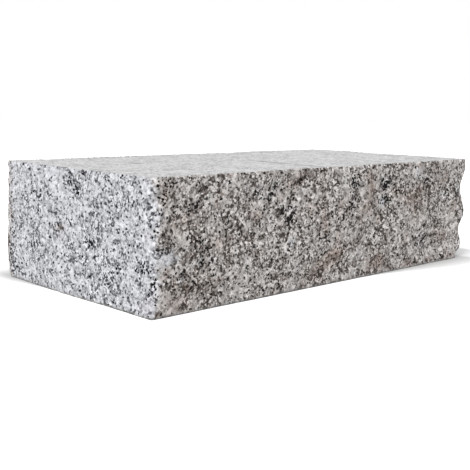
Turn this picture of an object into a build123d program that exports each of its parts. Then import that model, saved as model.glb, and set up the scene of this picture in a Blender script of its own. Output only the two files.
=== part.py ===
"""Granite kerb stone, lying on its bed.

A slab is sawn flat above and below, and then split to size on its four sides.
So the top and the bed are true planes, while the two long faces and the two
ends are rough: broad swells and hollows between arrises that stay nearly
straight, because the splitter's blades start the crack along them.

All sizes are in millimetres. X runs along the stone, Y across it with the
face side at -Y, and Z up. The origin is the middle of the bed.
"""

from build123d import *

import os
from collections import namedtuple
from math import cos, exp, pi, radians, sin, sqrt

# The stone's nominal sizes
length = 400.0
width = 200.0
height = 100.0

# How finely the split faces are followed
outline_pitch = 25.0  # between the points of one outline
level_pitch = 10.0  # between one outline and the next one up

# A split face's relief dies down to this share of itself at a sawn arris
arris_share = 0.5

# The ripple that a running crack leaves all over a split face: two trains of waves
ripple_rise = 0.35
ripple_pitch = 90.0
cross_ripple_rise = 0.25
cross_ripple_pitch = 60.0
ripple_turn = 20.0
cross_ripple_turn = 105.0

# Every upright arris is broken by at least this much
least_break = 1.5

# Where a flake came off a sawn arris it left a hollow of this radius
spall_radius = 16.0

# Swell: a bulge, or with a negative rise a hollow, on a split face. along and up
# place it as shares of the face, long and short are its reaches, and turn tilts it.
Swell = namedtuple("Swell", "along up long short turn rise")

# Nick: a length of upright arris that broke away, up the arris by a share of it
Nick = namedtuple("Nick", "up reach depth")

# Spall: a flake off a side's sawn arris, along it by a share. up is 1 on top, 0 on the bed.
Spall = namedtuple("Spall", "along up depth")

# Side: a split face. It runs for span from start towards way, and faces out.
# nicks are those of the arris that it ends at, counter-clockwise from above.
Side = namedtuple("Side", "start way out span phase swells nicks spalls")

front = Side(
    start=Vector(-length / 2, -width / 2),
    way=Vector(1, 0),
    out=Vector(0, -1),
    span=length,
    phase=0.0,
    swells=[
        Swell(0.07, 0.40, 36, 28, 0, 1.8),
        Swell(0.22, 0.66, 42, 26, 20, -1.6),
        Swell(0.36, 0.42, 46, 28, -25, 1.8),
        Swell(0.40, 0.86, 26, 18, -30, -1.8),
        Swell(0.54, 0.70, 30, 22, 70, 1.8),
        Swell(0.60, 0.24, 46, 20, 30, -1.8),
        Swell(0.76, 0.56, 48, 28, 10, 2.0),
        Swell(0.86, 0.84, 30, 18, 40, -1.6),
        Swell(0.93, 0.20, 30, 22, 0, -1.6),
    ],
    nicks=[Nick(0.72, 12, 5.5), Nick(0.28, 7, 4.5), Nick(0.0, 9, 6.5)],
    spalls=[Spall(0.10, 1, 1.6), Spall(0.47, 1, 1.0), Spall(0.81, 1, 1.2), Spall(0.33, 0, 1.5)],
)
right_end = Side(
    start=Vector(length / 2, -width / 2),
    way=Vector(0, 1),
    out=Vector(1, 0),
    span=width,
    phase=1.9,
    swells=[
        Swell(0.22, 1.0, 46, 20, 0, 8.0),
        Swell(0.54, 1.0, 24, 20, 0, -4.0),
        Swell(0.80, 1.0, 32, 22, 0, 8.0),
        Swell(0.10, 0.76, 40, 16, 0, -3.4),
        Swell(0.30, 0.47, 46, 18, 10, 2.6),
        Swell(0.08, 0.26, 36, 14, 0, -1.7),
        Swell(0.66, 0.72, 42, 24, -20, 2.6),
        Swell(0.20, 0.0, 60, 20, 0, -4.0),
        Swell(0.84, 0.34, 42, 26, 0, -2.8),
    ],
    nicks=[Nick(0.92, 16, 9), Nick(0.40, 18, 4)],
    spalls=[Spall(0.62, 1, 1.8), Spall(0.30, 0, 1.4)],
)
back = Side(
    start=Vector(length / 2, width / 2),
    way=Vector(-1, 0),
    out=Vector(0, 1),
    span=length,
    phase=4.1,
    swells=[
        Swell(0.23, 1.0, 42, 22, 0, 9.0),
        Swell(0.34, 1.0, 24, 20, 0, -6.0),
        Swell(0.08, 0.50, 38, 30, 0, -2.2),
        Swell(0.24, 0.56, 52, 30, -15, 3.8),
        Swell(0.42, 0.30, 44, 24, 25, -2.8),
        Swell(0.56, 0.74, 46, 24, 10, 2.8),
        Swell(0.70, 0.36, 42, 28, -30, -3.0),
        Swell(0.86, 0.60, 44, 28, 0, 2.2),
    ],
    nicks=[Nick(0.98, 8, 1.5), Nick(0.82, 9, 1.0), Nick(0.0, 8, 2.5)],
    spalls=[Spall(0.37, 1, 2.2), Spall(0.90, 1, 1.4), Spall(0.58, 0, 1.8)],
)
left_end = Side(
    start=Vector(-length / 2, width / 2),
    way=Vector(0, -1),
    out=Vector(-1, 0),
    span=width,
    phase=2.7,
    swells=[
        Swell(0.06, 0.22, 30, 20, 0, 3.4),
        Swell(0.04, 0.71, 26, 12, 0, 1.0),
        Swell(0.42, 0.70, 46, 24, 20, 1.4),
        Swell(0.45, 0.0, 58, 26, 0, 3.6),
        Swell(0.78, 0.44, 42, 26, -30, -1.2),
    ],
    nicks=[Nick(0.88, 26, 7), Nick(0.22, 12, 3)],
    spalls=[Spall(0.28, 1, 1.0), Spall(0.72, 0, 1.2)],
)
sides = [front, right_end, back, left_end]


def wave(along, up, turn, pitch, phase):
    """A train of waves at a place on a side, running in the direction of turn."""
    reach = along * cos(radians(turn)) + up * sin(radians(turn))
    return sin(2 * pi * reach / pitch + phase)


def relief(side, along, up):
    """How far a side stands out past its nominal plane at a place, both in millimetres."""
    rise = ripple_rise * wave(along, up, ripple_turn, ripple_pitch, side.phase)
    rise += cross_ripple_rise * wave(along, up, cross_ripple_turn, cross_ripple_pitch, side.phase)
    for swell in side.swells:
        across = along - swell.along * side.span
        over = up - swell.up * height
        turn = radians(swell.turn)
        far = (across * cos(turn) + over * sin(turn)) / swell.long
        off = (over * cos(turn) - across * sin(turn)) / swell.short
        rise += swell.rise * exp(-(far**2) - off**2)
    from_middle = 2 * up / height - 1
    return rise * (1 - (1 - arris_share) * from_middle**4)


def arris_break(nicks, up):
    """How much of both sides is lost at an upright arris, at a height."""
    lost = sum(n.depth * exp(-(((up - n.up * height) / n.reach) ** 2)) for n in nicks)
    return least_break + lost


def side_points(index, up):
    """The points of one side's outline at a height, from arris to arris."""
    side, before, after = sides[index], sides[index - 1], sides[(index + 1) % len(sides)]
    begin = arris_break(before.nicks, up) - relief(before, before.span, up)
    end = side.span + relief(after, 0, up) - arris_break(side.nicks, up)
    count = round(side.span / outline_pitch)
    points = []
    for step in range(count + 1):
        along = begin + (end - begin) * step / count
        points.append(side.start + side.way * along + side.out * relief(side, along, up))
    return points


def spall_centre(side, spall):
    """The middle of the ball that a spall is cut with, outside the sawn arris."""
    along = spall.along * side.span
    up = spall.up * height
    clear = (spall_radius - spall.depth) / sqrt(2)
    outward = side.out * (relief(side, along, up) + clear)
    upward = up + clear if spall.up == 1 else up - clear
    return side.start + side.way * along + outward + Vector(0, 0, upward)


# The stone, built up from its outline at each level, less the flakes off its arrises
level_count = round(height / level_pitch)
with BuildPart() as kerb_stone:
    for level in range(level_count + 1):
        up = height * level / level_count
        outline = [side_points(index, up) for index in range(len(sides))]
        with BuildSketch(Plane.XY.offset(up)):
            with BuildLine():
                for index, points in enumerate(outline):
                    Spline(*points)
                    Line(points[-1], outline[(index + 1) % len(outline)][0])
            make_face()
    loft()
    with Locations(*[spall_centre(side, spall) for side in sides for spall in side.spalls]):
        Sphere(spall_radius, mode=Mode.SUBTRACT)

kerb_stone.part.label = "kerb_stone"
os.makedirs("parts", exist_ok=True)
export_step(kerb_stone.part, "parts/kerb_stone.step")
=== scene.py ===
# %% [markdown]
# A granite kerb stone, lying on its bed.
# The real stone is one block: a slab was sawn flat above and below, and then split
# on its four sides. So the look comes from three things: the rough split faces, the
# arrises where they meet the sawn ones, and the grain of the granite itself.
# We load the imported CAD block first, because everything else is measured from it.

from collections import namedtuple
from math import cos, exp, pi, radians, sin

import bmesh
import bpy
import numpy as np
from mathutils import Matrix, Vector, noise
from mathutils.bvhtree import BVHTree


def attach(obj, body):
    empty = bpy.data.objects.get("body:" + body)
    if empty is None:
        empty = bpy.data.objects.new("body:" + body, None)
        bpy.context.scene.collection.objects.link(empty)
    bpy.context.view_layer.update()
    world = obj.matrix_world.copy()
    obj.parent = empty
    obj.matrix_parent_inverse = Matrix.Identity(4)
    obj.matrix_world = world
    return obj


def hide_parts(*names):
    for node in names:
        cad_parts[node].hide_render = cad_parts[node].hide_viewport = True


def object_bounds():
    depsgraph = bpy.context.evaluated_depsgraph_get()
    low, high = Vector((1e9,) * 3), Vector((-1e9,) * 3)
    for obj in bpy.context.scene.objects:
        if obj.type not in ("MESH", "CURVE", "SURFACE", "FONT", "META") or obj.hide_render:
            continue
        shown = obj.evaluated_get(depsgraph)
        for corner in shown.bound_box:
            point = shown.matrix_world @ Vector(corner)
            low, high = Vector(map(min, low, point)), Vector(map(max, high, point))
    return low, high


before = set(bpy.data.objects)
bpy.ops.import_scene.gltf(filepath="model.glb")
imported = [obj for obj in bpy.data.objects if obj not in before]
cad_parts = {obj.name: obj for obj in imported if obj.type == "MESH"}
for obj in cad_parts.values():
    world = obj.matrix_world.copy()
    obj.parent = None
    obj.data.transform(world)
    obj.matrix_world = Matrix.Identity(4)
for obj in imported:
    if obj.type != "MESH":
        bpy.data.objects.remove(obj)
cad_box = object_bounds()
cad_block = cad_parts["kerb_stone"]
print("CAD box in metres:", [tuple(round(v, 4) for v in corner) for corner in cad_box])

# %% Sizes
MM = 0.001
LENGTH, WIDTH, HEIGHT = 400 * MM, 200 * MM, 100 * MM  # what the stone was split and sawn to
GRAIN_PITCH = 1.32 * MM  # between the points of a split face
CAP_PITCH = 3.0 * MM  # between the points of the sawn top
print("nominal size in mm:", [round(size / MM) for size in (LENGTH, WIDTH, HEIGHT)])

# %% [markdown]
# The block starts as a plain cube, scaled to the stone's nominal size. Only the four
# sides need a fine mesh, so the top and the bed come off, the tube that is left is cut
# into small squares, and two flat faces close it again. Subdividing in one direction
# at a time keeps the squares square.

# %% A fine tube for the split sides
def edges_along(mesh, axis):
    """The mesh's edges that run along one axis."""
    found = []
    for edge in mesh.edges:
        run = edge.verts[1].co - edge.verts[0].co
        if abs(run[axis]) > 0.99 * run.length:
            found.append(edge)
    return found


block = bmesh.new()
bmesh.ops.create_cube(block, size=1.0)
bmesh.ops.scale(block, vec=(LENGTH, WIDTH, HEIGHT), verts=block.verts)
bmesh.ops.translate(block, vec=(0, 0, HEIGHT / 2), verts=block.verts)
caps = [face for face in block.faces if abs(face.normal.z) > 0.5]
bmesh.ops.delete(block, geom=caps, context="FACES_ONLY")
for axis, size in enumerate((LENGTH, WIDTH, HEIGHT)):
    cuts = round(size / GRAIN_PITCH) - 1
    bmesh.ops.subdivide_edges(block, edges=edges_along(block, axis), cuts=cuts)
print("side squares:", len(block.faces))

# %% [markdown]
# The CAD block already has the broad swells, hollows and broken upright arrises. Each
# point of our tube is thrown outwards from a smaller core inside the stone until it
# meets the CAD surface. Near a corner the rays fan out, so the points spread evenly
# over the broken arris instead of piling up on it.

# %% Throw the tube's points out to the CAD surface
CORE_INSET = 24 * MM
HAIR = 0.02 * MM  # keeps a ray off the plane of a sawn face, and finds the points on it

cad_surface = BVHTree.FromObject(cad_block, bpy.context.evaluated_depsgraph_get())


def core_point(place):
    """The point of the core, inside the stone, that is nearest to a place at its own height."""
    half_x, half_y = LENGTH / 2 - CORE_INSET, WIDTH / 2 - CORE_INSET
    x = min(max(place.x, -half_x), half_x)
    y = min(max(place.y, -half_y), half_y)
    return Vector((x, y, place.z))


outward = {}
for vert in block.verts:
    core = core_point(vert.co)
    way = (vert.co - core).normalized()
    outward[vert] = way
    level = min(max(core.z, HAIR), HEIGHT - HAIR)
    hit = cad_surface.ray_cast(Vector((core.x, core.y, level)), way)[0]
    vert.co = Vector((hit.x, hit.y, vert.co.z))
print("points thrown out:", len(outward))

# %% [markdown]
# Each side is named as a mason would see it, and a place on it is measured along from
# its left corner and up from the bed, in millimetres. The left end and the front are
# the two that show most, so the marks that stand out there get a place of their own.
# The sawn top is measured the same way, along and then across from its near corner.
# The right end needs none, so it isn't in the list.

# %% The sides and the top
Side = namedtuple("Side", "start way out")
FRONT = Side(Vector((-200, -100)), Vector((1, 0)), Vector((0, -1)))
BACK = Side(Vector((200, 100)), Vector((-1, 0)), Vector((0, 1)))
LEFT_END = Side(Vector((-200, 100)), Vector((0, -1)), Vector((-1, 0)))
TOP = Side(Vector((-200, -100)), Vector((1, 0)), None)
print("the front starts at", tuple(FRONT.start), "and the left end at", tuple(LEFT_END.start))

# %% [markdown]
# Splitting leaves relief at every scale: steps and flakes of a few centimetres, lumps
# of a few grains, and the grains themselves. Fractal noise gives the lumps, ledges are
# listed one by one, and the smallest relief is left to the material.
# A ledge is where a thin flake stopped: the face drops suddenly along a line, and then
# climbs back gently. Its drop, the reach of its line to each side of its middle, and the
# run of the climb below it are all in millimetres. Noise makes the line waver.

# %% Ledges on the split faces
Ledge = namedtuple("Ledge", "side along up turn reach run drop")
LEDGES = [
    Ledge(FRONT, 156, 92, 25, 14, 12, 2.6),
    Ledge(FRONT, 142, 78, 62, 10, 8, 1.6),
    Ledge(FRONT, 117, 80, 80, 8, 7, 1.5),
    Ledge(FRONT, 103, 88, -5, 10, 7, 1.5),
    Ledge(FRONT, 128, 66, 5, 9, 8, 1.8),
    Ledge(FRONT, 140, 60, 40, 9, 7, 1.5),
    Ledge(FRONT, 222, 80, 85, 10, 8, 2.0),
    Ledge(FRONT, 212, 62, 60, 12, 9, 1.6),
    Ledge(FRONT, 44, 36, 80, 14, 8, 1.4),
    Ledge(FRONT, 40, 79, 40, 9, 7, 1.4),
    Ledge(FRONT, 87, 29, 60, 8, 7, 1.3),
    Ledge(FRONT, 185, 18, 28, 22, 12, 1.5),
    Ledge(FRONT, 246, 78, 78, 13, 9, 1.3),
    Ledge(FRONT, 268, 82, 15, 10, 9, 1.6),
    Ledge(FRONT, 271, 67, -30, 7, 7, 1.5),
    Ledge(FRONT, 324, 80, 12, 12, 9, 1.8),
    Ledge(FRONT, 305, 90, 55, 10, 8, 1.4),
    Ledge(FRONT, 329, 27, 8, 10, 8, 1.8),
    Ledge(FRONT, 330, 15, 50, 9, 7, 1.6),
    Ledge(FRONT, 351, 19, 10, 14, 11, 2.0),
    Ledge(FRONT, 366, 66, -40, 9, 8, 1.6),
    Ledge(FRONT, 384, 56, 20, 12, 9, 1.6),
    Ledge(FRONT, 386, 38, 10, 12, 9, 1.8),
    Ledge(LEFT_END, 12, 28, 10, 12, 9, 1.6),
    Ledge(LEFT_END, 45, 78, 10, 9, 8, 1.2),
    Ledge(LEFT_END, 84, 53, 5, 6, 6, 1.4),
    Ledge(LEFT_END, 100, 88, 10, 9, 7, 1.2),
    Ledge(LEFT_END, 134, 69, 20, 9, 9, 1.2),
    Ledge(LEFT_END, 122, 44, 15, 10, 8, 1.0),
]
print("ledges:", len(LEDGES), "and the deepest drops", max(ledge.drop for ledge in LEDGES), "mm")

# %% How a ledge lowers the face
SIDE_DEPTH = 14  # how deep inside its plane a side's ledges still reach, in mm
WAVER, WAVER_SIZE = 1.2, 5  # how far a ledge's line wavers, and over what length, in mm


def ease(value, low, high):
    """A smooth step of 0 to 1 as the value goes from low to high."""
    share = min(max((value - low) / (high - low), 0.0), 1.0)
    return share * share * (3 - 2 * share)


def ledge_drop(ledge, place):
    """How far a ledge lowers the face at a place, both in millimetres."""
    flat = Vector((place.x, place.y))
    if abs((flat - ledge.side.start).dot(ledge.side.out)) > SIDE_DEPTH:
        return 0.0
    across = (flat - ledge.side.start).dot(ledge.side.way) - ledge.along
    over = place.z - ledge.up
    if abs(across) > 3 * ledge.reach or abs(over) > 3 * ledge.reach:
        return 0.0
    turn = radians(ledge.turn)
    far = across * cos(turn) + over * sin(turn)
    below = across * sin(turn) - over * cos(turn)
    below += WAVER * noise.noise(place / WAVER_SIZE)
    if below < -1:
        return 0.0
    return ledge.drop * exp(-((far / ledge.reach) ** 2)) * ease(below, -1, 1) * exp(-below / ledge.run)


ledge_middle = Vector((*(FRONT.start + LEDGES[0].along * FRONT.way), LEDGES[0].up))
print("the first ledge lowers its middle by", round(ledge_drop(LEDGES[0], ledge_middle), 2), "mm")

# %% [markdown]
# Where a split face meets a sawn one the edge crumbles, so there the points draw back,
# a little everywhere and more where the noise says that a flake came off. The lower
# edge crumbled less, and the relief dies down towards it, as it does in the photograph.
# No point may stand out of the CAD block's box, because that is the stone's real size.

# %% How an arris crumbles
CRUMBLE_REACH = 4 * MM  # how far from an arris the edge has crumbled
FLAKE_DEPTH, FLAKE_SIZE = 3.2 * MM, 9 * MM
WORN_DEPTH, WORN_SIZE = 0.5 * MM, 3 * MM


def fractal(place, size, octaves):
    """Smooth fractal noise of about -1 to 1, whose largest lumps have a given size."""
    return noise.fractal(place / size, 0.8, 2.0, octaves, noise_basis="PERLIN_ORIGINAL")


def crumble(place):
    """How far a point close to a sawn face draws back into the stone."""
    from_arris = min(place.z, HEIGHT - place.z)
    if from_arris > CRUMBLE_REACH:
        return 0.0
    flake = max(0.0, fractal(place + Vector((0.3, 0.1, 0.7)), FLAKE_SIZE, 3) - 0.15) * FLAKE_DEPTH
    worn = WORN_DEPTH * (1 + 0.5 * fractal(place, WORN_SIZE, 2))
    near = 1 - from_arris / CRUMBLE_REACH
    share = 1.0 if place.z > HEIGHT / 2 else 0.4
    return share * (flake * near + worn * near**3)


arris_place = Vector((0, -WIDTH / 2, HEIGHT))
print("the front's top arris crumbles by", round(crumble(arris_place) / MM, 2), "mm at its middle")

# %% Roughen the split faces
LUMP_RISE, LUMP_SIZE = 1.1 * MM, 30 * MM
SMALL_RISE, SMALL_SIZE = 0.5 * MM, 6 * MM
CALM_FOOT = 9 * MM  # the relief dies down from here to the bed


def keep_in_box(vert):
    """Moves a point back into the CAD block's box, if it stands out of it."""
    low, high = cad_box
    vert.co = Vector(min(max(vert.co[axis], low[axis]), high[axis]) for axis in range(3))


for vert, way in outward.items():
    place = vert.co.copy()
    rise = LUMP_RISE * fractal(place, LUMP_SIZE, 3)
    rise += SMALL_RISE * fractal(place + Vector((1, 2, 3)), SMALL_SIZE, 3)
    rise -= sum(ledge_drop(ledge, place / MM) for ledge in LEDGES) * MM
    rise *= 0.4 + 0.6 * ease(place.z, 0, CALM_FOOT)
    vert.co += way * (rise - crumble(place))
    keep_in_box(vert)
corner_points = [vert.co / MM for vert in outward if vert.co.x < 0 and vert.co.y < 0]
nearest = min(corner_points, key=lambda place: place.x + place.y)
print("the near corner's outermost point, in mm:", [round(value, 1) for value in nearest])

# %% [markdown]
# Now the top and the bed close the tube. Each is one flat face. The bed stays whole,
# because it lies on the floor. The top is cut into larger squares, so that it can have
# the slight unevenness that the saw left, and can carry marks.

# %% Close the tube with the sawn faces
SAW_DIP, SAW_DIP_SIZE = 0.35 * MM, 60 * MM  # the depth and the size of the saw's shallow hollows


def close_at(mesh, level):
    """Closes the tube at one height, and returns the flat face."""
    rim = [e for e in mesh.edges if e.is_boundary and abs(e.verts[0].co.z - level) < HAIR]
    return bmesh.ops.contextual_create(mesh, geom=rim)["faces"][0]


def cut_in_squares(mesh, cap):
    """Cuts a flat face along both ways, and returns its cells and the points inside."""
    cells = [cap]
    rim = set(cap.verts)
    level = cap.verts[0].co.z
    for axis, size in ((0, LENGTH), (1, WIDTH)):
        count = round(size / CAP_PITCH)
        for step in range(1, count):
            middle, normal = Vector((0, 0, level)), Vector((0, 0, 0))
            middle[axis] = size * (step / count - 0.5)
            normal[axis] = 1
            geometry = cells + list({e for c in cells for e in c.edges})
            geometry += list({v for c in cells for v in c.verts})
            cut = bmesh.ops.bisect_plane(mesh, geom=geometry, plane_co=middle, plane_no=normal)
            cells = [g for g in cut["geom"] if isinstance(g, bmesh.types.BMFace)]
    return cells, [v for v in {v for c in cells for v in c.verts} if v not in rim]


close_at(block, 0)
top_cells, top_points = cut_in_squares(block, close_at(block, HEIGHT))
print("top cells:", len(top_cells), "inner points:", len(top_points))
for vert in top_points:
    vert.co.z -= SAW_DIP * (1 + fractal(vert.co, SAW_DIP_SIZE, 2))
    keep_in_box(vert)

# %% [markdown]
# The split faces are shaded smooth, because their squares are finer than their lumps.
# The sawn ones stay flat, so that the arrises between the two look sharp.

# %% Make the stone's object
bmesh.ops.recalc_face_normals(block, faces=block.faces)
for face in block.faces:
    face.smooth = abs(face.normal.z) < 0.9
stone_mesh = bpy.data.meshes.new("split_stone")
block.to_mesh(stone_mesh)
block.free()
stone = bpy.data.objects.new("split_stone", stone_mesh)
bpy.context.scene.collection.objects.link(stone)
triangles = sum(len(p.vertices) - 2 for p in stone_mesh.polygons)
print("triangles:", triangles)

# %% [markdown]
# Some things on the stone are marks and not grain. Each is a soft oval patch at a place
# on a side. Painting an image would do, but then every mark would be fixed in pixels,
# so they are gathered into one number per point for each kind of mark instead, and the
# material reads them by name.
# First come the brown stains, where iron in the rock has rusted.

# %% Brown stains
Mark = namedtuple("Mark", "side along up long short turn strength")
BROWN = [
    Mark(FRONT, 11, 88, 4, 9, 0, 0.9),
    Mark(FRONT, 103, 66, 7, 5, 0, 0.9),
    Mark(FRONT, 152, 91, 13, 5, 25, 1.0),
    Mark(FRONT, 182, 82, 5, 24, 0, 0.45),
    Mark(FRONT, 168, 66, 9, 7, 0, 0.6),
    Mark(FRONT, 184, 51, 8, 8, 0, 0.8),
    Mark(FRONT, 182, 17, 24, 8, 30, 1.0),
    Mark(FRONT, 200, 24, 12, 7, 20, 0.9),
    Mark(FRONT, 63, 49, 7, 6, 0, 0.8),
    Mark(FRONT, 22, 62, 16, 10, 20, 0.4),
    Mark(FRONT, 20, 10, 14, 9, 0, 0.7),
    Mark(FRONT, 45, 22, 16, 12, 0, 0.4),
    Mark(FRONT, 245, 80, 6, 14, -10, 0.9),
    Mark(FRONT, 240, 62, 12, 7, 0, 0.8),
    Mark(FRONT, 255, 11, 14, 8, 10, 0.9),
    Mark(FRONT, 306, 66, 20, 8, -10, 1.0),
    Mark(FRONT, 320, 74, 9, 5, 0, 0.6),
    Mark(FRONT, 314, 50, 14, 8, 0, 0.5),
    Mark(FRONT, 213, 62, 6, 12, 0, 0.6),
    Mark(FRONT, 362, 26, 14, 6, -5, 0.9),
    Mark(FRONT, 308, 5, 10, 4, 0, 0.8),
    Mark(FRONT, 342, 4, 6, 4, 0, 0.8),
    Mark(LEFT_END, 84, 52.5, 4.5, 2, 0, 1.6),
    Mark(LEFT_END, 80, 50, 8, 4, 0, 0.4),
]
print("brown stains:", len(BROWN))

# %% [markdown]
# Black mica gathers in flocks here and there, mostly along the ledges. There the
# flocks also darken the ledges with painted shade, so they are part mica and part painted shade.

# %% Flocks of mica, and painted shade along the ledges
MICA_AND_LEDGE_SHADE_FLOCKS = [
    Mark(FRONT, 131, 68, 5, 3, 0, 1.0),
    Mark(FRONT, 140, 60, 7, 5, 40, 1.25),
    Mark(FRONT, 101, 85, 8, 3, 0, 0.5),
    Mark(FRONT, 117, 80, 3, 7, -15, 0.8),
    Mark(FRONT, 124, 88, 5, 3, 40, 0.7),
    Mark(FRONT, 157, 92, 8, 3, 25, 0.8),
    Mark(FRONT, 143, 80, 4, 7, -30, 0.5),
    Mark(FRONT, 48, 36, 12, 13, 0, 0.35),
    Mark(FRONT, 40, 78, 6, 5, 0, 0.5),
    Mark(FRONT, 42, 50, 4, 3, 0, 0.8),
    Mark(FRONT, 188, 44, 6, 5, 0, 0.4),
    Mark(FRONT, 220, 80, 4, 13, 5, 1.0),
    Mark(FRONT, 212, 60, 7, 9, -20, 0.5),
    Mark(FRONT, 190, 60, 5, 4, 0, 0.7),
    Mark(FRONT, 243, 72, 5, 14, 0, 0.2),
    Mark(FRONT, 11, 88, 4, 7, 0, 0.4),
    Mark(FRONT, 386, 63, 6, 6, 0, 0.5),
    Mark(FRONT, 332, 84, 14, 5, 15, 0.35),
    Mark(FRONT, 268, 82, 7, 5, 0, 0.9),
    Mark(FRONT, 271, 68, 4, 3, -30, 1.0),
    Mark(FRONT, 228, 89, 5, 3, 0, 0.6),
    Mark(FRONT, 288, 74, 8, 4, 0, 0.4),
    Mark(FRONT, 323, 56, 4, 3, 0, 0.7),
    Mark(FRONT, 341, 46, 3, 2, 0, 0.9),
    Mark(FRONT, 292, 43, 3, 2, 0, 0.9),
    Mark(FRONT, 330, 16, 5, 6, 20, 0.7),
    Mark(FRONT, 328, 28, 8, 4, 0, 0.6),
    Mark(FRONT, 367, 65, 5, 5, 0, 0.7),
    Mark(FRONT, 366, 84, 6, 3, 0, 0.5),
    Mark(LEFT_END, 97, 88, 6, 4, 0, 0.8),
    Mark(LEFT_END, 108, 83, 2.5, 4, 0, 0.8),
    Mark(LEFT_END, 46, 78, 6, 3, 0, 0.8),
    Mark(LEFT_END, 54, 75, 3, 3, 0, 0.8),
    Mark(LEFT_END, 55, 61, 3, 5, 0, 0.7),
    Mark(LEFT_END, 99, 58, 3, 3, 0, 0.6),
    Mark(LEFT_END, 124, 44, 7, 3, 0, 0.5),
    Mark(LEFT_END, 6, 25, 9, 8, 0, 0.7),
    Mark(LEFT_END, 11, 40, 4, 4, 0, 0.6),
    Mark(LEFT_END, 12, 12, 8, 4, 0, 0.5),
    Mark(LEFT_END, 45, 37, 6, 4, 0, 0.3),
    Mark(LEFT_END, 190, 35, 7, 4, 0, 0.5),
    Mark(LEFT_END, 116, 98, 4, 2, 0, 0.8),
]
print("flocks of mica:", len(MICA_AND_LEDGE_SHADE_FLOCKS))

# %% [markdown]
# Other spots hold more white feldspar than the rest. Two of them are on the top. A
# narrow strip down the arris at the near corner is a painted highlight instead. One
# strength is negative: the narrow facet beside the near corner is duller than the rest.

# %% Pale spots, and a painted highlight on the near arris
PALE_SPOTS_AND_HIGHLIGHT = [
    Mark(FRONT, 115, 78, 14, 6, 0, 0.8),
    Mark(FRONT, 112, 61, 8, 5, 0, 0.7),
    Mark(FRONT, 70, 83, 14, 7, 0, 0.35),
    Mark(FRONT, 16, 43, 12, 7, 0, 0.6),
    Mark(FRONT, 36, 22, 24, 11, 0, 0.45),
    Mark(FRONT, 72, 45, 7, 16, 0, 0.25),
    Mark(FRONT, 72, 14, 20, 9, 0, 0.35),
    Mark(FRONT, 262, 10, 14, 6, 0, 0.3),
    Mark(FRONT, 94, 27, 6, 8, 0, 0.7),
    Mark(FRONT, 105, 15, 9, 6, 0, 0.6),
    Mark(FRONT, 134, 73, 6, 4, 0, 0.5),
    Mark(FRONT, 158, 80, 8, 4, 20, 0.6),
    Mark(FRONT, 156, 55, 6, 5, 0, 0.5),
    Mark(FRONT, 207, 84, 9, 12, 0, 0.5),
    Mark(FRONT, 317, 89, 5, 7, 0, 0.7),
    Mark(FRONT, 262, 67, 8, 7, 0, 0.3),
    Mark(FRONT, 300, 17, 14, 8, 0, 0.4),
    Mark(FRONT, 225, 30, 7, 6, 0, 0.4),
    Mark(FRONT, 155, 20, 8, 5, 30, 0.5),
    Mark(FRONT, 323, 44, 6, 5, 0, 0.5),
    Mark(FRONT, 383, 17, 9, 7, 0, 0.5),
    Mark(LEFT_END, 95, 73, 17, 9, 0, 0.9),
    Mark(LEFT_END, 22, 79, 20, 5, 0, 0.7),
    Mark(LEFT_END, 25, 92, 22, 7, 0, 0.3),
    Mark(LEFT_END, 60, 42, 16, 7, 0, 0.35),
    Mark(LEFT_END, 24, 33, 9, 7, 0, 0.5),
    Mark(LEFT_END, 78, 7, 12, 5, 0, 0.6),
    Mark(LEFT_END, 170, 20, 8, 5, 0, 0.6),
    Mark(LEFT_END, 150, 88, 14, 6, 0, 0.35),
    # painted highlight: a narrow pale strip down the arris at the near corner
    Mark(LEFT_END, 199, 75, 2, 18, 0, 0.9),
    Mark(LEFT_END, 193, 82, 7, 7, 0, 1.1),
    Mark(FRONT, 5, 77, 5, 22, 0, -0.3),
    Mark(FRONT, 1, 51, 7, 5, 0, 0.8),
    Mark(FRONT, 4, 5, 9, 6, 0, 0.7),
    Mark(TOP, 148, 78, 9, 8, 0, 1.0),
    Mark(TOP, 155, 41, 8, 8, 0, 0.8),
]
print("pale spots:", len(PALE_SPOTS_AND_HIGHLIGHT))

# %% [markdown]
# The front is an old face that has weathered brown, with a painted warm bounce of light
# on it too, while the left end was split lately and is clean. Near the corner between them
# some flakes came off the front later, and there it is as fresh as the end. The top has a
# few faint dark streaks, and those are narrow marks too.

# %% Fresh spots and dark streaks on the top
FRESH = [
    Mark(FRONT, 3, 76, 7, 24, 0, 0.8),
    Mark(FRONT, 12, 43, 13, 7, 0, 0.8),
    Mark(FRONT, 3, 20, 5, 16, 0, 0.7),
    Mark(FRONT, 26, 26, 5, 4, 0, 0.6),
    Mark(FRONT, 142, 41, 5, 4, 0, 0.7),
    Mark(FRONT, 262, 66, 8, 7, 0, 0.6),
    Mark(FRONT, 317, 89, 5, 7, 0, 0.6),
]
TOP_STREAKS = [
    Mark(TOP, 192, 76, 4, 26, 0, 1.5),
    Mark(TOP, 189, 26, 4, 24, 0, 1.1),
    Mark(TOP, 77, 121, 4, 10, 0, 2.0),
    Mark(TOP, 381, 84, 4, 24, 0, 1.1),
    Mark(TOP, 387, 36, 4, 22, 0, 1.1),
    Mark(TOP, 175, 157, 4, 5, 0, 0.6),
    Mark(TOP, 220, 160, 4, 6, 0, 0.6),
    Mark(TOP, 116, 112, 3, 4, 0, 0.5),
    Mark(TOP, 236, 83, 3, 4, 0, 0.5),
    Mark(TOP, 138, 51, 3, 4, 0, 0.6),
]
print("fresh spots:", len(FRESH), "scored lines:", len(TOP_STREAKS))

# %% [markdown]
# Each point of the mesh now adds up the marks that reach it. A point counts as on a
# side while it is no deeper than a few millimetres inside that side's plane, and fades
# out of it past that, so a mark wraps a little round a broken arris.

# %% Add up the marks at each point
MARK_DEPTH = 6  # how deep a side's marks reach at full strength, in mm, and then fade
SAWN_ABOVE = 98  # a point above this, in mm, is on the sawn top

mark_places = np.empty(len(stone_mesh.vertices) * 3)
stone_mesh.vertices.foreach_get("co", mark_places)
mark_places = mark_places.reshape(-1, 3) / MM


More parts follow.
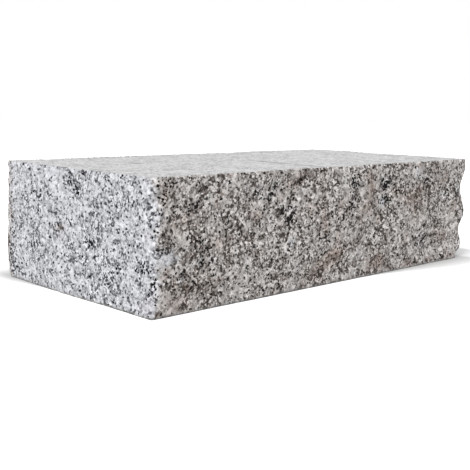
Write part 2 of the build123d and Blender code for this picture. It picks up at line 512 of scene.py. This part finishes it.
def on_side(side):
    """Each point's place along and up a side, and 1 where it lies on it, fading to 0 past it."""
    flat = mark_places[:, :2] - np.array(side.start)
    along = flat @ np.array(side.way)
    if side is TOP:
        return along, flat[:, 1], mark_places[:, 2] > SAWN_ABOVE
    inside = -(flat @ np.array(side.out))
    return along, mark_places[:, 2], 1 - np.clip(inside / MARK_DEPTH - 1, 0, 1)


def gather(marks):
    """The sum of marks of one kind, at each point."""
    total = np.zeros(len(mark_places))
    for mark in marks:
        along, height_up, there = on_side(mark.side)
        across, over, turn = along - mark.along, height_up - mark.up, radians(mark.turn)
        far = (across * cos(turn) + over * sin(turn)) / mark.long
        off = (over * cos(turn) - across * sin(turn)) / mark.short
        total += mark.strength * there * np.exp(-(far**2) - off**2)
    return total


def store(name, total):
    """Stores one number per point on the mesh, under a name."""
    layer = stone_mesh.attributes.new(name, "FLOAT", "POINT")
    layer.data.foreach_set("value", total.astype(np.float32))
    print(name, "is at most", round(float(total.max()), 2))


# %% [markdown]
# The weathering is stored the same way: full on the front, less on the back, and none
# on the two ends. It starts between 1 and 4 millimetres along the front, so the arris
# itself is as fresh as the left end.

# %% Store the marks and the weathering
BACK_WEATHERING = 0.6

along_front, _, near_front = on_side(FRONT)
near_back = on_side(BACK)[2]
past_arris = np.clip((along_front - 1) / 3, 0, 1)
past_arris = past_arris**2 * (3 - 2 * past_arris)
old_front = near_front * past_arris * np.clip(1 - gather(FRESH), 0, 1)
weathered = np.maximum(old_front, BACK_WEATHERING * near_back)

store("brown", gather(BROWN))
store("mica_and_ledge_shade", gather(MICA_AND_LEDGE_SHADE_FLOCKS))
store("pale_and_highlight", gather(PALE_SPOTS_AND_HIGHLIGHT))
store("streaked", gather(TOP_STREAKS))
store("weathered", weathered)

# %% [markdown]
# Granite is a packed mass of crystals: white and cream feldspar, grey glassy quartz
# and small black flakes of mica. Voronoi cells pack space the same way, so each cell
# is a crystal, and its random colour says which mineral it is. All of it is a solid
# pattern in Object coordinates, so the grain runs through from face to face.
# A material is a tree of nodes, and building one in code takes many lines, so a few
# short helpers come first. They all add to the tree that is open at the time.

# %% Open the granite's node tree
def open_tree(owner):
    """Gives a material or the world an empty node tree, and returns it."""
    owner.use_nodes = True
    owner.node_tree.nodes.clear()
    return owner.node_tree


granite = bpy.data.materials.new("granite")
tree = open_tree(granite)


def node(kind, **settings):
    """A new node with some of its settings made."""
    made = tree.nodes.new(kind)
    for name, value in settings.items():
        setattr(made, name, value)
    return made


def feed(socket, value):
    """Links a socket to another node's output, or sets it to a plain value."""
    if isinstance(value, bpy.types.NodeSocket):
        tree.links.new(value, socket)
    else:
        socket.default_value = value


print("nodes to begin with:", len(tree.nodes))


# %% Arithmetic between nodes
def maths(operation, a, b=0.0):
    """The result of one step of arithmetic."""
    made = node("ShaderNodeMath", operation=operation)
    feed(made.inputs[0], a)
    feed(made.inputs[1], b)
    return made.outputs[0]


def vector_maths(operation, a, b=(0, 0, 0), scale=1.0):
    """The result of one step of arithmetic on vectors: a vector, or a number."""
    made = node("ShaderNodeVectorMath", operation=operation)
    feed(made.inputs[0], a)
    if operation == "SCALE":
        feed(made.inputs["Scale"], scale)
    else:
        feed(made.inputs[1], b)
    return made.outputs["Value" if operation in ("DISTANCE", "DOT_PRODUCT") else "Vector"]


def spread(value, low, high, to_low=0.0, to_high=1.0, smooth=True):
    """A value's way from low to high, spread over another range and kept inside it."""
    made = node("ShaderNodeMapRange", interpolation_type="SMOOTHSTEP" if smooth else "LINEAR")
    for socket, number in zip(made.inputs, (value, low, high, to_low, to_high)):
        feed(socket, number)
    return made.outputs[0]


print("arithmetic by:", maths.__name__, vector_maths.__name__, spread.__name__)

# %% [markdown]
# Before the minerals, the material works out a few shares of 0 to 1 that they all use:
# how sawn a place is, from the direction that the face really looks in, how weathered
# it is, and how near the floor. The edge of the weathered face is ragged, so noise
# shifts it. Crystals have crooked edges, so the place itself is shifted a little too.

# %% Noise and marks as numbers
def cloud(place, size, detail=2.0, offset=(0, 0, 0), roughness=0.5):
    """A noise node of 0 to 1, whose lumps have a given size in metres."""
    made = node("ShaderNodeTexNoise")
    feed(made.inputs["Vector"], vector_maths("ADD", place, offset))
    feed(made.inputs["Scale"], 1 / size)
    feed(made.inputs["Detail"], detail)
    feed(made.inputs["Roughness"], roughness)
    return made


def upward(vector):
    """A vector's Z."""
    made = node("ShaderNodeSeparateXYZ")
    feed(made.inputs[0], vector)
    return made.outputs["Z"]


def stored(name):
    """A number that was stored on the mesh's points."""
    return node("ShaderNodeAttribute", attribute_name=name).outputs["Fac"]


def add_share(total, value, middle, weight):
    """Adds a value's distance from its middle to a total, times a weight."""
    return maths("ADD", total, maths("MULTIPLY", maths("SUBTRACT", value, middle), weight))


place = node("ShaderNodeTexCoord").outputs["Object"]
print("places are read in", place.name, "coordinates")

# %% Where a place lies on the stone
WANDER, WANDER_SIZE = 1.1 * MM, 1.6 * MM
MIDDLE = (0.5, 0.5, 0.5)  # of noise and of random colours, which go from 0 to 1

wander = vector_maths("SUBTRACT", cloud(place, WANDER_SIZE).outputs["Color"], MIDDLE)
crooked = vector_maths("ADD", place, vector_maths("SCALE", wander, scale=WANDER))
brown, ledge_shade_and_mica, pale_and_highlight, streaked = (stored(name) for name in ("brown", "mica_and_ledge_shade", "pale_and_highlight", "streaked"))
true_normal = node("ShaderNodeNewGeometry").outputs["True Normal"]
sawn = spread(maths("ABSOLUTE", upward(true_normal)), 0.97, 0.995)
ragged = cloud(place, 5 * MM, 3, (8, 2, 6), 0.6).outputs["Fac"]
weathered_share = spread(add_share(stored("weathered"), ragged, 0.5, 1.0), 0.12, 0.88)
streak_share = spread(add_share(streaked, ragged, 0.5, 1.2), 0.4, 1.0)
above_bed = upward(place)
split = maths("SUBTRACT", 1.0, sawn)
# within about 2 mm of the bed the split faces are evened towards a mid grey
grey_foot_strip = maths("MULTIPLY", spread(above_bed, 2.2 * MM, 0.9 * MM), split)
# painted contact shadow along the last millimetre of the split faces above the bed
shaded_foot = maths("MULTIPLY", spread(above_bed, 0.8 * MM, 0.2 * MM), split)
print("nodes so far:", len(tree.nodes))

# %% [markdown]
# Quartz is grey and glassy, and looks dark where it lies deep. Feldspar is pale grey
# to white. Two sizes of cell and two sizes of cloud add up to one number, and a ramp
# turns it into the mineral, so that the small grains belong to larger patches, as they
# do in the rock. The largest patches show more on an old face than on a fresh one. The
# pale spots move the number towards feldspar, and weathering moves it towards quartz.

# %% Crystals and their colours
def crystals(place, size, offset=(0, 0, 0)):
    """A Voronoi node, whose cells have a given size in metres."""
    made = node("ShaderNodeTexVoronoi")
    feed(made.inputs["Vector"], vector_maths("ADD", place, offset))
    feed(made.inputs["Scale"], 1 / size)
    return made


def channels(colour):
    """A colour's red, green and blue."""
    made = node("ShaderNodeSeparateColor")
    feed(made.inputs[0], colour)
    return made.outputs


def colour_ramp(value, stops):
    """The colour that a value has on a ramp between stops, each a position and a colour."""
    made = node("ShaderNodeValToRGB")
    elements = made.color_ramp.elements
    while len(elements) < len(stops):
        elements.new(0.5)
    for element, (position, colour) in zip(elements, stops):
        element.position = position
        element.color = (*colour, 1)
    feed(made.inputs[0], value)
    return made.outputs[0]


main_grains = crystals(crooked, 2.4 * MM)
small_grains = channels(crystals(crooked, 1.4 * MM, (3, 3, 3)).outputs["Color"])
print("nodes so far:", len(tree.nodes))

# %% Feldspar and quartz
QUARTZ_DARK = (0.11, 0.11, 0.11)
QUARTZ = (0.30, 0.30, 0.30)
FELDSPAR_GREY = (0.66, 0.66, 0.66)
FELDSPAR_WHITE = (0.98, 0.98, 0.98)

patches = cloud(place, 9 * MM, 3, (5, 1, 2), 0.6).outputs["Fac"]
areas = cloud(place, 26 * MM, 3, (3, 7, 1), 0.6).outputs["Fac"]
areas_weight = spread(weathered_share, 0, 1, 1.15, 1.75, smooth=False)

kind = add_share(0.5, channels(main_grains.outputs["Color"])[0], 0.5, 0.86)
kind = add_share(kind, small_grains[0], 0.5, 0.84)
kind = add_share(kind, patches, 0.5, 2.1)
kind = add_share(kind, areas, 0.5, areas_weight)
# the pale spots, and the painted highlight on the near arris, move the number towards white feldspar
kind = add_share(kind, pale_and_highlight, 0.0, 0.4)
kind = add_share(kind, weathered_share, 0.72, -0.13)
grains = colour_ramp(
    kind,
    [(0.0, QUARTZ_DARK), (0.15, QUARTZ), (0.42, FELDSPAR_GREY), (0.70, FELDSPAR_WHITE)],
)
print("nodes so far:", len(tree.nodes))

# %% [markdown]
# A split face is full of tiny pits, and of crystals that broke fresh and white. The
# colour darkens the pits with painted shade and with dirt. The pits come from the same
# lumps that the bump uses below, so the dark lies where the surface is low. Old faces
# hold more dirt than new ones, so there the pits are darker.

# %% Painted shade and dirt in the pits, and fresh chips
PIT_SHADE = (0.2, 0.2, 0.2, 1)
CHIP = (0.98, 0.98, 0.98, 1)
CHIPPED_SHARE = 0.11  # of the small crystals


def blend(factor, a, b, kind="MIX"):
    """Two colours mixed: the first where the factor is 0, and the second laid over it where it is 1."""
    made = node("ShaderNodeMix", data_type="RGBA", blend_type=kind)
    for name, value in (("Factor_Float", factor), ("A_Color", a), ("B_Color", b)):
        feed(next(s for s in made.inputs if s.identifier == name), value)
    return next(s for s in made.outputs if s.identifier == "Result_Color")


lumps = cloud(crooked, 6 * MM, 4, (1, 9, 4), 0.75).outputs["Fac"]
pit_darkening = spread(weathered_share, 0, 1, 0.33, 0.59, smooth=False)
# painted shade and dirt: darker where the lumps are low, and more on old faces
pit_shade_and_dirt = maths("MULTIPLY", spread(lumps, 0.60, 0.38), pit_darkening)
# the pits' painted shade and dirt, laid over the minerals
grains = blend(pit_shade_and_dirt, grains, PIT_SHADE, "MULTIPLY")
chips = maths("GREATER_THAN", small_grains[1], 1 - CHIPPED_SHARE)
grains = blend(chips, grains, CHIP)
print("nodes so far:", len(tree.nodes))

# %% [markdown]
# Mica is nearly black. Each small cell is a flake of it or not, by chance, and the
# chance is higher in a cloud's middle and in the flocks that were listed.

# %% Mica, with painted shade along the ledges
MICA_AND_SHADE_BLACK = (0.006, 0.006, 0.006, 1)
flakes = channels(crystals(crooked, 1.6 * MM, (7, 1, 4)).outputs["Color"])
flocks = cloud(place, 6 * MM, 3, (2, 8, 3), 0.6).outputs["Fac"]
# the listed flocks, some of them painted shade along the ledges, raise the chance of black
mica_and_shade_share = maths("ADD", spread(flocks, 0.45, 0.70, 0.035, 0.18), maths("MULTIPLY", ledge_shade_and_mica, 0.75))
mica = maths("LESS_THAN", flakes[0], mica_and_shade_share)
# black cells: mica, and along the ledges painted shade as well
grains = blend(mica, grains, MICA_AND_SHADE_BLACK)
print("nodes so far:", len(tree.nodes))

# %% [markdown]
# A thin wash goes over the minerals. On the old faces it is brown weathering together
# with a painted warm bounce of light, and on the new ones it is a painted cool light. It
# tints the dark grains more than the light ones. Rust stains go over it. The sawn faces
# are evened out towards one grey, because the saw ground all the crystals to the same
# dull surface. Near the bed the split faces are evened towards a mid grey, and a painted
# contact shadow darkens their last millimetre.

# %% Weathering, painted tints of light, and the foot
PAINTED_COOL_ON_DARK, PAINTED_COOL_ON_PALE = (0.94, 0.965, 1.10, 1), (0.985, 0.992, 1.042, 1)
WEATHER_AND_BOUNCE_ON_DARK, WEATHER_AND_BOUNCE_ON_PALE = (1.18, 0.97, 0.85, 1), (1.0, 0.96, 0.94, 1)
SAWN_GREY = (0.50, 0.50, 0.50, 1)
STREAK_GREY = (0.3, 0.3, 0.3, 1)
FOOT_GREY = (0.52, 0.5, 0.48, 1)
SHADE = (0.1, 0.1, 0.1, 1)
RUST = (0.74, 0.64, 0.59, 1)
brightness = spread(channels(grains)[0], 0.0, 0.6, smooth=False)
# painted light: a cool tint on the fresh faces, stronger on the dark grains
painted_cool_light = blend(brightness, PAINTED_COOL_ON_DARK, PAINTED_COOL_ON_PALE)
# brown weathering together with a painted warm bounce of light, on the old faces
weather_and_warm_bounce = blend(brightness, WEATHER_AND_BOUNCE_ON_DARK, WEATHER_AND_BOUNCE_ON_PALE)
weather_and_light_tint = blend(sawn, blend(weathered_share, painted_cool_light, weather_and_warm_bounce), (1, 1, 1, 1))
# the tints, part weathering and part painted light, multiply the colour
colour = blend(1.0, grains, weather_and_light_tint, "MULTIPLY")
rust_cloud = spread(cloud(place, 14 * MM, 3, (4, 4, 9), 0.6).outputs["Fac"], 0.5, 0.75, 0, 0.6)
rust_share = maths("ADD", maths("MULTIPLY", rust_cloud, weathered_share), maths("MULTIPLY", brown, 0.8))
colour = blend(maths("MINIMUM", rust_share, 1.0), colour, RUST, "MULTIPLY")
colour = blend(maths("MULTIPLY", sawn, 0.6), colour, SAWN_GREY)
# faint dark streaks on the top
colour = blend(maths("MULTIPLY", streak_share, 0.7), colour, STREAK_GREY, "MULTIPLY")
# the strip along the foot, evened towards a mid grey
colour = blend(maths("MULTIPLY", grey_foot_strip, 0.5), colour, FOOT_GREY)
# the painted contact shadow at the foot
colour = blend(maths("MULTIPLY", shaded_foot, 0.6), colour, SHADE)
print("nodes so far:", len(tree.nodes))

# %% [markdown]
# The grain is too fine for the mesh, so its relief is bump: each crystal is a facet
# with a tilt of its own, and the lumps are larger. The sawn faces are almost smooth.

# %% Surface
FACET_SLOPE = 2.2  # how steeply the crystals' facets may tilt
LUMP_BUMP = 4.0 * MM

surface = node("ShaderNodeBsdfPrincipled")
feed(surface.inputs["Base Color"], colour)
surface.inputs["Roughness"].default_value = 0.8
surface.inputs["Specular IOR Level"].default_value = 0.2
tilt = vector_maths("SUBTRACT", main_grains.outputs["Color"], MIDDLE)
from_middle = vector_maths("SUBTRACT", crooked, main_grains.outputs["Position"])
facet_height = maths("MULTIPLY", vector_maths("DOT_PRODUCT", tilt, from_middle), FACET_SLOPE)
bump = node("ShaderNodeBump")
feed(bump.inputs["Strength"], maths("SUBTRACT", 1.0, maths("MULTIPLY", sawn, 0.93)))
bump.inputs["Distance"].default_value = 1.0
feed(bump.inputs["Height"], maths("ADD", facet_height, maths("MULTIPLY", lumps, LUMP_BUMP)))
feed(surface.inputs["Normal"], bump.outputs[0])
feed(node("ShaderNodeOutputMaterial").inputs["Surface"], surface.outputs[0])
stone_mesh.materials.append(granite)
print("granite has", len(tree.nodes), "nodes")

# %% [markdown]
# The stone takes the place of the plain CAD block, and rides on its body.

# %% Tie the stone to the frame
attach(stone, "root")
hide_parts("kerb_stone")
print(stone.name, "replaces", cad_block.name)

# %% [markdown]
# The photograph has a white background, with a soft shadow at the stone's foot that
# shows only near the two far corners. A plain grid makes the floor, just below the bed
# so that the two don't share a plane.

# %% Floor
FLOOR_REACH = 6.0  # from the middle of the stone, in metres
FLOOR_DROP = 0.05 * MM

floor_mesh = bpy.data.meshes.new("floor")
sheet = bmesh.new()
bmesh.ops.create_grid(sheet, x_segments=1, y_segments=1, size=FLOOR_REACH)
sheet.to_mesh(floor_mesh)
sheet.free()
floor = bpy.data.objects.new("floor", floor_mesh)
bpy.context.scene.collection.objects.link(floor)
floor.location.z = -FLOOR_DROP
print("floor is", 2 * FLOOR_REACH, "m wide")

# %% [markdown]
# The floor has two paints. To the stone it is pale grey, so that the light that it throws
# back isn't too strong. To the camera it is white: there a painted glow lifts it to full
# white away from the stone and hides the real shadow there, and by the foot its paint is
# darkened into a painted shadow that deepens the real one. Both follow how far a place is
# clear of the stone, measured in reaches. The reach is short by the near corner, where the
# photograph shows almost no shadow, and it grows from there.

# %% Where the floor is shaded
END_WEIGHT = 2.5  # a shadow is so much shorter off an end than off a long side
TAIL = 36 * MM  # how much further the shadow runs at the right end

floor_material = bpy.data.materials.new("pale_floor")
tree = open_tree(floor_material)
floor_place = node("ShaderNodeTexCoord").outputs["Object"]


def clear_of(tail):
    """How far a place on the floor is clear of the stone, made longer at its right end by a tail."""
    off = vector_maths("ABSOLUTE", vector_maths("SUBTRACT", floor_place, (tail / 2, 0, 0)))
    past = vector_maths("SUBTRACT", off, ((LENGTH + tail) / 2, WIDTH / 2, 0))
    past = vector_maths("MULTIPLY", vector_maths("MAXIMUM", past, (0, 0, 0)), (END_WEIGHT, 1, 0))
    return vector_maths("DISTANCE", past, (0, 0, 0))


in_stones = vector_maths("MULTIPLY", floor_place, (1 / LENGTH, 1 / WIDTH, 0))
from_near = vector_maths("DISTANCE", in_stones, (-0.5, -0.5, 0))
reach = spread(from_near, 0.57, 0.99, 1 * MM, 38 * MM)
# painted shadow: the floor's paint darkens towards the foot, deepening the real shadow
paint_with_painted_shadow = spread(maths("DIVIDE", clear_of(0.0), reach), 0, 0.7, 0.67, 0.965)
# painted glow: lifts the floor to white away from the foot, and hides the real shadow there
lit = spread(maths("DIVIDE", clear_of(TAIL), reach), 0.5, 1.2, 0.0, 0.4)
print("nodes so far:", len(tree.nodes))


# %% The floor's two paints
def diffuse(tone):
    """A dull paint of one tone of grey."""
    made = node("ShaderNodeBsdfDiffuse")
    feed(made.inputs["Color"], tone)
    return made.outputs[0]


def seen_directly():
    """1 for what is seen itself, in a mirror or through glass, and 0 for what only lights the stone."""
    path = node("ShaderNodeLightPath")
    direct = maths("MAXIMUM", path.outputs["Is Camera Ray"], path.outputs["Is Glossy Ray"])
    return maths("MAXIMUM", direct, path.outputs["Is Transmission Ray"])


def choose(share, first, second):
    """A shader that is the first one where the share is 0, and the second where it is 1."""
    made = node("ShaderNodeMixShader")
    for socket, value in zip(made.inputs, (share, first, second)):
        feed(socket, value)
    return made.outputs[0]


glow = node("ShaderNodeEmission")
feed(glow.inputs["Strength"], lit)
lifted = node("ShaderNodeAddShader")
feed(lifted.inputs[0], diffuse(paint_with_painted_shadow))
feed(lifted.inputs[1], glow.outputs[0])
either_paint = choose(seen_directly(), diffuse((0.65, 0.65, 0.65, 1)), lifted.outputs[0])
feed(node("ShaderNodeOutputMaterial").inputs["Surface"], either_paint)
floor_mesh.materials.append(floor_material)
print("floor has", len(tree.nodes), "nodes")

# %% [markdown]
# In the photograph pale light comes from all around, more of it from above, and one
# clearer light from the left, which makes the left end the brightest side. Two distant
# lights and an even sky do the same, and stay the same wherever the camera goes. The
# sky is white to the camera and dimmer to the stone, as the floor is.

# %% Sky
SKY_LEVEL = 0.45


def even_sky(strength):
    """A white sky, as bright on every side."""
    made = node("ShaderNodeBackground")
    made.inputs["Color"].default_value = (1, 1, 1, 1)
    made.inputs["Strength"].default_value = strength
    return made.outputs[0]


sky = bpy.data.worlds.new("sky")
bpy.context.scene.world = sky
tree = open_tree(sky)
either_sky = choose(seen_directly(), even_sky(SKY_LEVEL), even_sky(1.0))
feed(node("ShaderNodeOutputWorld").inputs["Surface"], either_sky)
print("sky lights the stone at", SKY_LEVEL)


# %% Lamps
def soft_light(name, comes_from, spread_angle, level):
    """A distant light whose level is what it gives a white sheet that faces it."""
    lamp_data = bpy.data.lights.new(name, "SUN")
    lamp_data.angle = radians(spread_angle)
    lamp_data.energy = level * pi
    lamp = bpy.data.objects.new(name, lamp_data)
    bpy.context.scene.collection.objects.link(lamp)
    lamp.rotation_euler = Vector(comes_from).to_track_quat("Z", "Y").to_euler()
    print(name, "gives", level, "and is", spread_angle, "degrees wide")


soft_light("overhead", (-0.1, -0.15, 1), 90, 0.35)
soft_light("from_left", (-0.85, -0.25, 0.5), 20, 0.56)

# %% [markdown]
# The camera stands where the photograph was taken from. Its place, its turn and its
# focal length were found by fitting the stone's corners to the picture.

# %% Camera
CAMERA_PLACE = Vector((-551.8, -552.3, 150.2)) * MM
LOOK_TURN = radians(46.36)  # from +X towards +Y
LOOK_DOWN = radians(8.84)
ROLL = radians(0.97)
FOCAL_PIXELS, PHOTO_PIXELS, SENSOR = 838, 470, 36

ahead = Vector((cos(LOOK_DOWN) * cos(LOOK_TURN), cos(LOOK_DOWN) * sin(LOOK_TURN), -sin(LOOK_DOWN)))
level_right = ahead.cross(Vector((0, 0, 1))).normalized()
level_up = level_right.cross(ahead)
right = level_right * cos(ROLL) + level_up * sin(ROLL)
up = level_up * cos(ROLL) - level_right * sin(ROLL)
camera_data = bpy.data.cameras.new("camera")
camera_data.sensor_width = SENSOR
camera_data.lens = FOCAL_PIXELS / PHOTO_PIXELS * SENSOR
camera = bpy.data.objects.new("camera", camera_data)
bpy.context.scene.collection.objects.link(camera)
turn = Matrix((right, up, -ahead)).transposed().to_4x4()
camera.matrix_world = Matrix.Translation(CAMERA_PLACE) @ turn
bpy.context.scene.camera = camera
print("lens in mm:", round(camera_data.lens, 1))

# %% [markdown]
# Last, the colours are shown as they are, without a film look.

# %% Finish
bpy.context.scene.view_settings.view_transform = "Standard"
